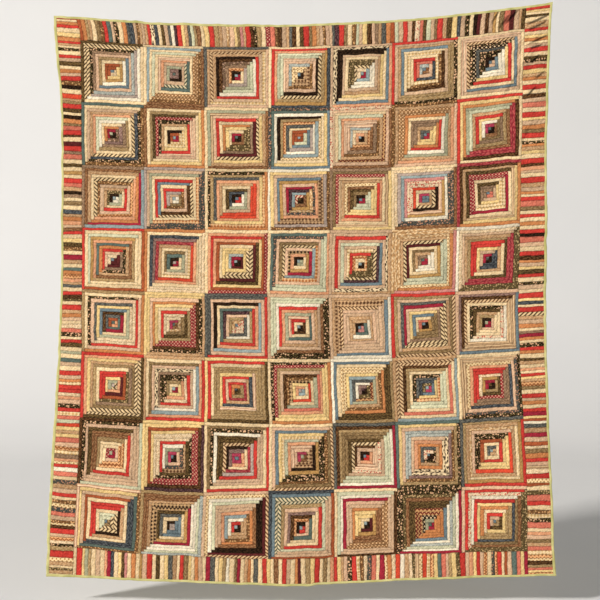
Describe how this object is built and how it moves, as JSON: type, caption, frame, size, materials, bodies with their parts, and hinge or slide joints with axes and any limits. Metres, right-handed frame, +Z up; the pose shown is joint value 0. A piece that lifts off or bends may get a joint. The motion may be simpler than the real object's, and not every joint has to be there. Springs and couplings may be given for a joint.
{
  "type": "log cabin quilt",
  "caption": "Hanging pieced quilt of square log cabin blocks, with narrow pieced borders on all four sides and a thin folded binding.",
  "frame": {"origin": "the middle of the top edge, halfway through the cloth, where the hanging is held up", "axes": "+Z up, along the quilt's height; +X to the right of someone who faces the pieced front; the front faces -Y"},
  "size_m": [1.814, 0.0372, 2.0781],
  "materials": {
    "patchwork_cotton": "narrow strips of plain and printed dress cottons in reds, creams, browns, blacks and blues",
    "border_cotton": "short strips of the same plain and printed cottons, many of them cream and bright red",
    "binding_cotton": "plain yellow-green cotton, folded double"
  },
  "bodies": {
    "root": {"patchwork": "patchwork_cotton", "border_left": "border_cotton", "border_right": "border_cotton", "border_top": "border_cotton", "border_bottom": "border_cotton", "binding_top": "binding_cotton", "binding_bottom": "binding_cotton", "binding_left": "binding_cotton", "binding_right": "binding_cotton"}
  },
  "joints": []
}
